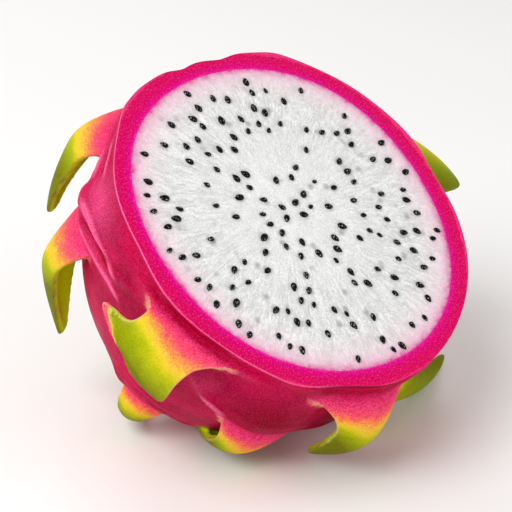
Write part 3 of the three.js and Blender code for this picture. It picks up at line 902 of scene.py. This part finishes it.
class Shader:
    def __init__(self, name):
        self.material = bpy.data.materials.new(name)
        self.material.use_nodes = True
        self.tree = self.material.node_tree
        self.surface = self.tree.nodes["Principled BSDF"]

    def node(self, kind, inputs=None, **values):
        made = self.tree.nodes.new("ShaderNode" + kind)
        for key, value in values.items():
            setattr(made, key, value)
        for key, value in (inputs or {}).items():
            self.put(made.inputs[key], value)
        return made

    def put(self, socket, value):
        if isinstance(value, bpy.types.NodeSocket):
            self.tree.links.new(value, socket)
        else:
            socket.default_value = colour(value) if isinstance(value, str) else value

    def math(self, operation, a, b=0.0, c=0.0):
        return self.node("Math", {0: a, 1: b, 2: c}, operation=operation).outputs[0]

    def mix(self, share, a, b, blend="MIX"):
        made = self.node("Mix", data_type="RGBA", blend_type=blend, clamp_factor=True)
        self.put(made.inputs["Factor"], share)
        self.put(made.inputs[6], a)
        self.put(made.inputs[7], b)
        return made.outputs[2]

    def ramp(self, value, stops):
        made = self.node("ValToRGB", {"Fac": value})
        elements = made.color_ramp.elements
        while len(elements) < len(stops):
            elements.new(0.5)
        for element, (position, shade) in zip(elements, stops):
            element.position = position
            element.color = colour(shade)
        return made.outputs["Color"]

    def spread(self, value, low, high, toLow=0.0, toHigh=1.0):
        made = self.node("MapRange", {
            "Value": value, "From Min": low, "From Max": high, "To Min": toLow, "To Max": toHigh,
        })
        return made.outputs["Result"]

    def layers(self, shade, rows, fields):
        # each row lays its colour over the shade, more as its field runs from low to high
        for name, low, high, strength, top in rows:
            shade = self.mix(self.spread(fields[name], low, high, 0, strength), shade, top)
        return shade

    def vector(self, operation, a, b=(0, 0, 0)):
        return self.node("VectorMath", {0: a, 1: b}, operation=operation).outputs[0]

    def join(self, x, y, z=0.0):
        return self.node("CombineXYZ", {"X": x, "Y": y, "Z": z}).outputs[0]

    def split(self, vector):
        return self.node("SeparateXYZ", {0: vector}).outputs

    def noise(self, vector, scale, detail=2.0, roughness=0.5):
        made = self.node("TexNoise", {
            "Vector": vector, "Scale": scale, "Detail": detail, "Roughness": roughness,
        })
        return made.outputs["Fac"]

    def noises(self, vector, rows):
        return {name: self.noise(vector, *how) for name, how in rows.items()}

    def attribute(self, name):
        return self.node("Attribute", attribute_name=name).outputs["Fac"]

    def bump(self, height, strength, distance):
        made = self.node("Bump", {
            "Height": height, "Strength": strength, "Distance": distance,
        })
        return made.outputs["Normal"]

    def fruitPlace(self):
        # the piece's own coordinates turned back to the fruit's frame, in millimetres
        place = self.node("TexCoord").outputs["Object"]
        mapping = self.node("Mapping", {
            "Vector": place,
            "Location": tuple(restCentre),
            "Rotation": (-tilt, 0, 0),
            "Scale": (1000, 1000, 1000),
        })
        return mapping.outputs["Vector"]

    def beyondFlesh(self, place):
        # how far a place of the cut lies outside the flesh's scalloped edge
        x, y, _ = self.split(place)
        squares = self.math("ADD", self.math("MULTIPLY", x, x), self.math("MULTIPLY", y, y))
        radius = self.math("SQRT", squares)
        turn = self.math("ARCTAN2", y, x)
        edge = fruit["cutRadius"] - fruit["rindWall"]
        for times, height, crest in fleshWaves:
            angle = self.math("MULTIPLY_ADD", turn, times, -math.radians(times * crest))
            edge = self.math("MULTIPLY_ADD", self.math("COSINE", angle), height, edge)
        return self.math("SUBTRACT", radius, edge)

    def finish(self, **values):
        for key, value in values.items():
            self.put(self.surface.inputs[key.replace("_", " ")], value)
        return self.material


# noises: scale, detail and roughness
# layers: field, from, to, strength and colour
# relief: strength and height
skinLook = {
    "noises": {
        "blotch": (0.09, 3, 0.55), "cloud": (0.35, 4, 0.6), "grain": (2.2, 2, 0.6),
        "fleck": (3.6, 1, 0.5), "speckle": (2.8, 2, 0.7), "veins": (0.55, 3, 0.6),
    },
    "blotches": [(0.3, "#920030"), (0.5, "#b0003c"), (0.7, "#c60046")],
    "layers": [
        ("cloud", 0.5, 0.75, 0.14, "#d41058"),
        # painted highlight on the skin's bulges and painted shade in its hollows
        ("fold", 0.06, 0.28, 0.7, "#f24a7e"),
        ("fold", -0.06, -0.25, 0.85, "#94001f"),
        # painted highlight on wrinkle crests and painted shade between them
        ("wrinkles", 0.05, 0.45, 0.6, "#f6558c"),
        ("wrinkles", -0.05, -0.4, 0.6, "#8e0024"),
        # painted highlight along each narrow fold
        ("ridgeHighlight", 0.12, 0.55, 0.7, "#ff74a2"),
        # painted sheen patches, then painted shade patches
        ("sheenAndShade", 0, 1, 0.8, "#f0508a"),
        ("sheenAndShade", 0, -1, 0.9, "#800016"),
        ("fleck", 0.5, 0.7, 0.32, "#e63c78"),
        # painted highlight along the rim's edge, on the skin just under the cut
        ("height", -0.75, -0.3, 0.8, "#ff6aa0"),
    ],
    # painted shade in the creases and furrows
    "creaseShade": "#98001e",
    "gleam": "#ff6f9c",
    "relief": (0.35, 0.0002),
}

leafLook = {
    "outer": [
        (0.0, "#a8002c"), (0.06, "#d41a56"), (0.12, "#e42e6c"), (0.2, "#ee3a76"),
        (0.32, "#f64a68"), (0.4, "#f6824a"), (0.48, "#efb83e"), (0.56, "#dcc226"),
        (0.64, "#b2b40c"), (0.76, "#909c06"), (0.9, "#7f8600"), (1.0, "#6c7000"),
    ],
    "inner": [
        (0.0, "#b8103e"), (0.2, "#d07a2c"), (0.34, "#d8ce10"), (0.6, "#cfe600"), (1.0, "#c2e200"),
    ],
    "outerLayers": [
        ("pinkFleck", 0, 1, 0.25, "#ff8ca6"),
        ("vein", 0, 1, 0.6, "#b80832"),
    ],
    # painted highlight on the blades' outer bends
    "layers": [("fold", 0.03, 0.3, 0.15, "#e6e060")],
    "pinkEdge": "#e9a389",
    "limeEdgeHighlight": "#d4dc66",
    "gleam": "#fff2a8",
}


def wrinkleLines(m, cloud):
    # wavy lines along each root, over 0 on their crests and under it between them
    across = m.math("MULTIPLY_ADD", m.attribute("inFront"), 0.8, m.math("MULTIPLY", cloud, 2.0))
    lines = m.join(m.math("MULTIPLY", m.attribute("alongRoot"), 0.13), across)
    crests = m.spread(m.noise(lines, 1.0, 2, 0.55), 0.35, 0.65)
    return m.math("MULTIPLY", m.attribute("wrinkles"), m.math("SUBTRACT", crests, 0.5))


def leafShade(m, fields):
    # from the pink of the root through orange and yellow to the green tip
    cloudy = m.spread(fields["cloud"], 0.3, 0.7, -0.035, 0.035)
    grainy = m.spread(fields["grain"], 0.3, 0.7, -0.03, 0.03)
    tone = m.math("ADD", m.math("ADD", m.attribute("tone"), cloudy), grainy)
    fleck = m.spread(fields["fleck"], 0.5, 0.72)
    vein = m.math("ABSOLUTE", m.math("SUBTRACT", fields["veins"], 0.5))
    vein = m.spread(vein, 0.0, 0.03, 1, 0)
    fields["pinkFleck"] = m.math("MULTIPLY", fleck, m.spread(tone, 0.5, 0.2))
    fields["vein"] = m.math("MULTIPLY", vein, m.spread(tone, 0.42, 0.25))
    leaf = m.layers(m.ramp(tone, leafLook["outer"]), leafLook["outerLayers"], fields)
    leaf = m.mix(m.attribute("inside"), leaf, m.ramp(tone, leafLook["inner"]))
    return m.layers(leaf, leafLook["layers"], fields), tone


def makeSkinMaterial():
    m = Shader("waxySkin")
    place = m.fruitPlace()
    fields = m.noises(place, skinLook["noises"])
    cloud, grain = fields["cloud"], fields["grain"]
    wrinkles = wrinkleLines(m, cloud)
    onBract = m.attribute("onBract")
    # height carries the painted highlight at the rim
    fields.update(wrinkles=wrinkles, height=m.split(place)["Z"])
    fields.update({name: m.attribute(name) for name in ("fold", "ridgeHighlight", "sheenAndShade")})
    shade = m.layers(m.ramp(fields["blotch"], skinLook["blotches"]), skinLook["layers"], fields)
    leaf, tone = leafShade(m, fields)
    shade = m.mix(onBract, shade, leaf)
    # painted shade along creases and furrows, left off the blades
    creaseShade = m.math("MULTIPLY", m.attribute("creaseShade"), m.spread(onBract, 0, 0.8, 0.9, 0))
    shade = m.mix(creaseShade, shade, skinLook["creaseShade"])
    # the margin line: tan on pink parts is the bract's own edge colour, lime on green parts is a
    # painted highlight
    edge = m.mix(m.spread(tone, 0.55, 0.85), leafLook["pinkEdge"], leafLook["limeEdgeHighlight"])
    shade = m.mix(m.spread(m.attribute("margin"), 0.25, 0.9, 0, 0.75), shade, edge)
    pores = m.math("MULTIPLY", m.spread(grain, 0.52, 0.32, 0, 0.4), m.spread(onBract, 0, 1, 1, 0.3))
    shade = m.mix(pores, shade, m.mix(0.5, shade, "#000000"))
    speckle = m.spread(fields["speckle"], 0.34, 0.66)
    shade = m.mix(m.spread(tone, 0.2, 0.6, 0.5, 0.25), shade, speckle, "SOFT_LIGHT")
    shine = m.spread(cloud, 0.3, 0.8, 0.012, 0.036)
    shine = m.math("MULTIPLY", shine, m.spread(onBract, 0, 1, 1, 0.35))
    relief = m.math("MULTIPLY_ADD", cloud, 0.6, m.math("MULTIPLY_ADD", wrinkles, 3.0, grain))
    return m.finish(
        Base_Color=shade,
        Roughness=m.spread(grain, 0.3, 0.7, 0.34, 0.46),
        Normal=m.bump(relief, *skinLook["relief"]),
        Subsurface_Weight=m.spread(onBract, 0, 1, 0.15, 0.02),
        Subsurface_Radius=(1.0, 0.2, 0.3),
        Subsurface_Scale=0.0012,
        Specular_IOR_Level=shine,
        Specular_Tint=m.mix(onBract, skinLook["gleam"], leafLook["gleam"]),
    )


cutLook = {
    "noises": {"grain": (2.3, 2, 0.6), "cloud": (0.5, 3, 0.5)},
    "across": [
        (0.0, "#ec2a9c"), (0.1, "#de0686"), (0.3, "#d8026c"),
        (0.5, "#d6045e"), (0.9, "#d40858"), (1.0, "#e83478"),
    ],
    "layers": [("grain", 0.54, 0.72, 0.5, "#f7589a"), ("grain", 0.48, 0.28, 0.6, "#96002e")],
    "gleam": "#ff7fae",
    "width": 4.6,
    "relief": (0.5, 0.0002),
}


def makeCutRindMaterial():
    m = Shader("cutRind")
    place = m.fruitPlace()
    fields = m.noises(place, cutLook["noises"])
    grain, cloud = fields["grain"], fields["cloud"]
    across = m.math("ADD", m.beyondFlesh(place), m.spread(cloud, 0.3, 0.7, -0.3, 0.3))
    shade = m.ramp(m.spread(across, 0, cutLook["width"]), cutLook["across"])
    return m.finish(
        Base_Color=m.layers(shade, cutLook["layers"], fields),
        Roughness=m.spread(grain, 0.3, 0.7, 0.35, 0.55),
        Normal=m.bump(grain, *cutLook["relief"]),
        Subsurface_Weight=0.1,
        Subsurface_Radius=(1.0, 0.2, 0.4),
        Subsurface_Scale=0.0008,
        Specular_IOR_Level=m.spread(cloud, 0.4, 0.7, 0.04, 0.14),
        Specular_Tint=cutLook["gleam"],
    )


fleshLook = {
    "noises": {
        "grain": (1.8, 3, 0.7), "cloud": (0.16, 2, 0.5), "swirl": (0.25, 2, 0.5),
        "edge": (0.45, 3, 0.6),
    },
    "light": "#ffffff",
    "dark": "#cecdca",
    "layers": [
        ("hairs", 0.5, 0.34, 0.5, "#bcbcb8"),
        ("hairs", 0.58, 0.7, 0.8, "#ffffff"),
        ("grain", 0.46, 0.66, 0.4, "#c8c8c5"),
        ("cloud", 0.4, 0.7, 0.2, "#cfcfcc"),
        # painted shade round each seed
        ("nearSeed", 0.3, 1.0, 0.5, "#9a9b98"),
        ("deepSeed", 0, 1, 0.55, "#7c7e7e"),
        ("beyond", -9, -1.5, 0.5, "#ffffff"),
    ],
    "blush": [
        (0.0, "#ffffff"), (0.35, "#fdf4f6"), (0.62, "#fde8f0"),
        (0.8, "#fbd4e4"), (0.92, "#f5a4c8"), (1.0, "#ec4096"),
    ],
    "blushWidth": 9.2,
    "fibreCount": 46,
    "fibreLength": 0.2,
    "fibreSwirl": 5.0,
    "hairBend": 9.0,
    "relief": (0.7, 0.0003),
}


def pulpFibres(m, place, swirl):
    # fine fibres that run out from the core, and how plain they are away from it
    fromCore = m.split(m.vector("SUBTRACT", place, (*seed["core"], 0)))
    flat = m.join(fromCore["X"], fromCore["Y"])
    radius = m.node("VectorMath", {0: flat}, operation="LENGTH").outputs["Value"]
    ray = m.split(m.vector("NORMALIZE", flat))
    swirl = m.math("MULTIPLY", swirl, fleshLook["fibreSwirl"])
    x, y = (m.math("MULTIPLY_ADD", ray[axis], fleshLook["fibreCount"], swirl) for axis in "XY")
    fibreAt = m.join(x, y, m.math("MULTIPLY", radius, fleshLook["fibreLength"]))
    return m.noise(fibreAt, 1.0, 3, 0.65), m.spread(radius, 3, 26, 0.2, 0.8)


def pulpHairs(m, place):
    # short bent hairs all over the pulp
    bend = m.node("TexNoise", {"Vector": place, "Scale": 0.35, "Detail": 2.0})
    much = fleshLook["hairBend"]
    bent = m.vector("ADD", place, m.vector("MULTIPLY", bend.outputs["Color"], (much, much, 0)))
    drawn = m.node("Mapping", {
        "Vector": bent, "Rotation": (0, 0, 0.6), "Scale": (3.2, 0.7, 1.0),
    })
    return m.noise(drawn.outputs[0], 1.0, 2, 0.6)


def deepSeeds(m, place):
    # soft grey spots of seeds that lie just under the cut, in half of the cells
    cells = m.node("TexVoronoi", {"Vector": place, "Scale": 0.24, "Randomness": 1.0})
    red = m.node("SeparateColor", {0: cells.outputs["Color"]}).outputs[0]
    chosen = m.math("GREATER_THAN", red, 0.5)
    return m.math("MULTIPLY", chosen, m.spread(cells.outputs["Distance"], 0.28, 0.08))


def makeFleshMaterial():
    m = Shader("whitePulp")
    place = m.fruitPlace()
    beyond = m.beyondFlesh(place)
    hairs = pulpHairs(m, place)
    fields = m.noises(place, fleshLook["noises"])
    fields.update(hairs=hairs, beyond=beyond, deepSeed=deepSeeds(m, place))
    fields["nearSeed"] = m.attribute("nearSeed")
    grain = fields["grain"]
    fibre, fibreShare = pulpFibres(m, place, fields["swirl"])
    between = m.math("MULTIPLY", m.spread(fibre, 0.62, 0.38), fibreShare)
    pulp = m.mix(between, fleshLook["light"], fleshLook["dark"])
    pulp = m.layers(pulp, fleshLook["layers"], fields)
    uneven = m.spread(fields["edge"], 0.3, 0.7, -0.5, 0.5)
    blush = m.math("ADD", m.math("ADD", beyond, uneven), m.spread(fibre, 0.3, 0.7, -0.25, 0.25))
    blush = m.spread(blush, 0.2 - fleshLook["blushWidth"], 0.2)
    relief = m.math("ADD", m.math("MULTIPLY_ADD", fibre, 0.6, grain), hairs)
    return m.finish(
        Base_Color=m.mix(1.0, pulp, m.ramp(blush, fleshLook["blush"]), "MULTIPLY"),
        Roughness=m.spread(grain, 0.3, 0.7, 0.32, 0.5),
        Normal=m.bump(relief, *fleshLook["relief"]),
        Subsurface_Weight=0.35,
        Subsurface_Radius=(1.0, 0.9, 0.85),
        Subsurface_Scale=0.0016,
        Specular_IOR_Level=0.4,
    )


seedLook = {
    "noises": {"shell": (2.4, 3, 0.6), "pits": (8.0, 2, 0.5), "glint": (3.2, 1, 0.4)},
    "shell": [(0.4, "#010101"), (0.62, "#040304"), (0.78, "#14100e")],
    # painted glints: pale specks standing in for highlights on the wet seeds
    "layers": [("glint", 0.63, 0.71, 0.8, "#b4b6b4")],
    "relief": (0.25, 0.0001),
}


def makeSeedMaterial():
    m = Shader("blackSeed")
    fields = m.noises(m.fruitPlace(), seedLook["noises"])
    shade = m.ramp(fields["shell"], seedLook["shell"])
    return m.finish(
        Base_Color=m.layers(shade, seedLook["layers"], fields),
        Roughness=m.spread(fields["pits"], 0.3, 0.7, 0.1, 0.24),
        Normal=m.bump(fields["pits"], *seedLook["relief"]),
        Specular_IOR_Level=0.12,
    )


def dressRind(skin, skinMaterial, cutMaterial):
    skin.data.materials.clear()
    skin.data.materials.append(skinMaterial)
    skin.data.materials.append(cutMaterial)
    for face in skin.data.polygons:
        onCut = isOnCut(face)
        x, y, z = face.center
        inward = face.normal.x * x + face.normal.y * y < 0
        wall = inward and math.hypot(x, y) < fruit["cutRadius"] - 2 and z > -3 * fruit["rindWall"]
        face.use_smooth = not onCut
        face.material_index = 1 if onCut or wall else 0


rind, guides = buildRind()
cutRind(rind)
bevelRim(rind)
paintRind(rind, guides)
dressRind(rind, makeSkinMaterial(), makeCutRindMaterial())
rind.name = "rindShell"
print("rind painted")

places = seedPlaces()
flesh = buildFlesh(places)
flesh.data.materials.append(makeFleshMaterial())
pick(flesh)
bpy.ops.object.shade_smooth_by_angle(angle=math.radians(50))
seeds = buildSeeds(places)
seeds.data.materials.append(makeSeedMaterial())

for piece, node in ((rind, "rind"), (flesh, "flesh"), (seeds, "flesh")):
    seatPiece(piece)
    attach(piece, "root")
    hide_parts(node)
print("pieces seated")

# each light: place, size and power
studio = {
    "floorSize": 6.0,
    "floor": "#f6f5f4",
    "floorCloud": "#efeeec",
    "world": 0.42,
    "key": ((-0.75, 0.0, 0.85), 0.9, 10.5),
    "fill": ((0.25, -0.95, 0.45), 0.8, 3.0),
    "rim": ((0.3, 0.8, 0.7), 0.6, 2.6),
    "aim": (0, 0, 0.04),
}

deselectAll()
bpy.ops.mesh.primitive_plane_add(size=studio["floorSize"], location=(0, 0, 0))
floor = bpy.context.object
floor.name = "floor"
floorShader = Shader("paleFloor")
floorPlace = floorShader.node("TexCoord").outputs["Object"]
floorTone = floorShader.noise(floorPlace, 3.0, 2, 0.5)
floorShade = floorShader.mix(floorTone, studio["floor"], studio["floorCloud"])
floor.data.materials.append(floorShader.finish(Base_Color=floorShade, Roughness=0.7))

camera = {
    "lens": 119.5,
    "sensor": 36,
    "place": (-0.2523, -0.2589, 0.2086),
    "towards": (0.6373, 0.6441, -0.4228),
}


def placeInRoom(name, data, place, towards):
    back = -Vector(towards).normalized()
    right = Vector((0, 0, 1)).cross(back).normalized()
    facing = Matrix((right, back.cross(right), back)).transposed().to_4x4()
    holder = bpy.data.objects.new(name, data)
    bpy.context.scene.collection.objects.link(holder)
    holder.matrix_world = Matrix.Translation(place) @ facing
    return holder


def addCamera():
    data = bpy.data.cameras.new("camera")
    data.lens = camera["lens"]
    data.sensor_width = camera["sensor"]
    data.clip_start = 0.01
    holder = placeInRoom("camera", data, camera["place"], camera["towards"])
    bpy.context.scene.camera = holder


def addSoftLight(name):
    place, size, power = studio[name]
    data = bpy.data.lights.new(name, "AREA")
    data.shape = "DISK"
    data.size = size
    data.energy = power
    placeInRoom(name, data, place, Vector(studio["aim"]) - Vector(place))


addCamera()
for light in ("key", "fill", "rim"):
    addSoftLight(light)
world = bpy.data.worlds.new("studioWorld")
bpy.context.scene.world = world
world.use_nodes = True
background = world.node_tree.nodes["Background"]
background.inputs["Color"].default_value = (1, 1, 1, 1)
background.inputs["Strength"].default_value = studio["world"]
bpy.context.scene.view_settings.view_transform = "Standard"

print("finished")
